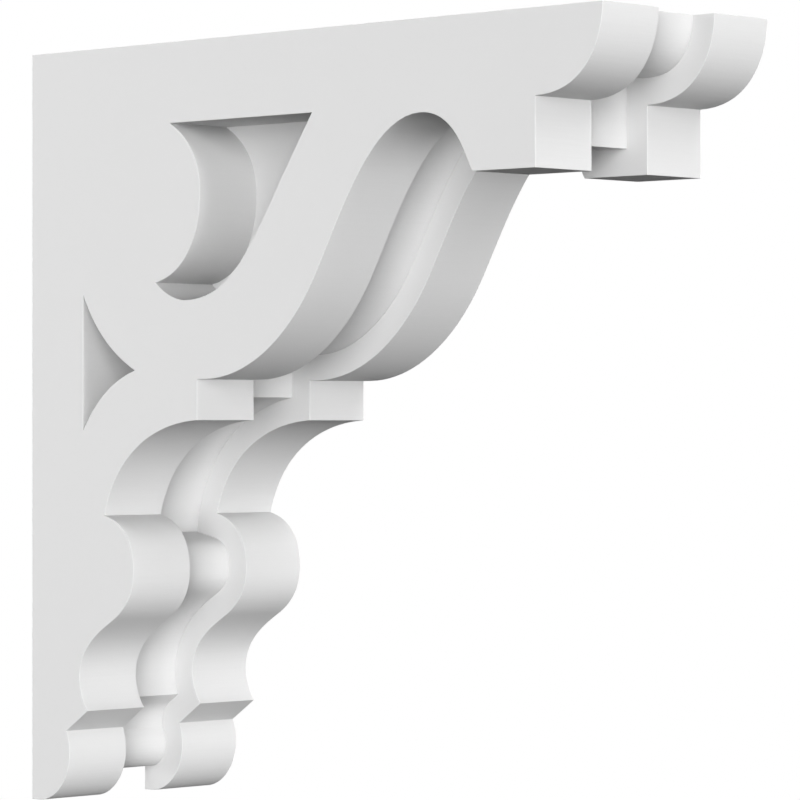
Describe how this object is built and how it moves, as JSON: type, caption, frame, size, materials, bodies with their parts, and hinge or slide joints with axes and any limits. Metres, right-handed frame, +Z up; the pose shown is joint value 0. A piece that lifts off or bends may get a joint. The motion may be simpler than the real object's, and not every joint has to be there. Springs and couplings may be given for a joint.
{
  "type": "corbel",
  "caption": "Scrolled wall bracket built up from layered boards, with pierced sides, an S-shaped brace and a scrolled head, for carrying an eave or shelf.",
  "frame": {"origin": "middle of the flat wall face, halfway up the bracket, on the middle board", "axes": "+Y into the wall, out of the bracket's back face; the bracket reaches out along -Y; +Z up; X across its width"},
  "size_m": [0.1404, 0.4647, 0.4572],
  "materials": {
    "left_side_board": "smooth factory-white rigid foam board",
    "middle_board": "smooth factory-white rigid foam board",
    "right_side_board": "smooth factory-white rigid foam board"
  },
  "bodies": {
    "root": {"left_side_board": "left_side_board", "middle_board": "middle_board", "right_side_board": "right_side_board"}
  },
  "joints": []
}
